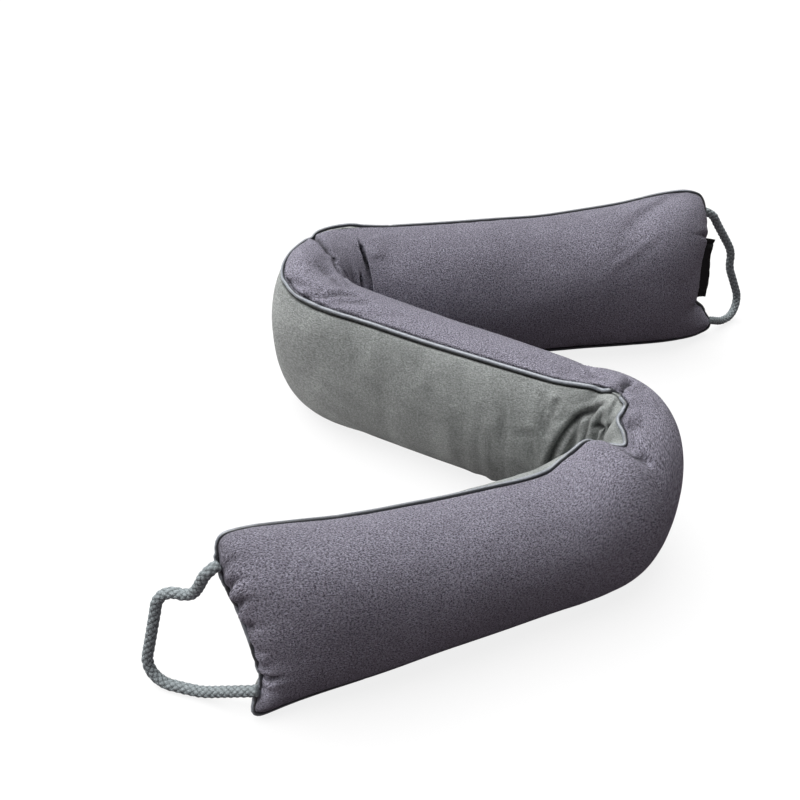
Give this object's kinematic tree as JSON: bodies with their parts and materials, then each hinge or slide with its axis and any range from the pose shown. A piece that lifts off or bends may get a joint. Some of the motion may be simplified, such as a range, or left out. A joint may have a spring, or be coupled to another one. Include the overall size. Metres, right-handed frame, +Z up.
{
  "type": "draught excluder",
  "caption": "Long filled fabric draught excluder bent in an S on the floor, with two-tone cloth, piping in its seam, a rope loop at each end and a bare tab.",
  "frame": {"origin": "on the floor under the middle of the part's bounding box, measured without the rope loops", "axes": "+Z up from the floor, -Y towards the front cloth and the picture's camera, +X to the right end in the picture"},
  "size_m": [0.4622, 0.4266, 0.1345],
  "materials": {
    "cover": "soft brushed",
    "piping": "tight woven",
    "rope": "plaited",
    "tab": "woven"
  },
  "bodies": {
    "root": {"filled_cover": "cover", "piping": "piping", "left_rope": "rope", "right_rope": "rope", "bare_tab": "tab"}
  },
  "joints": []
}
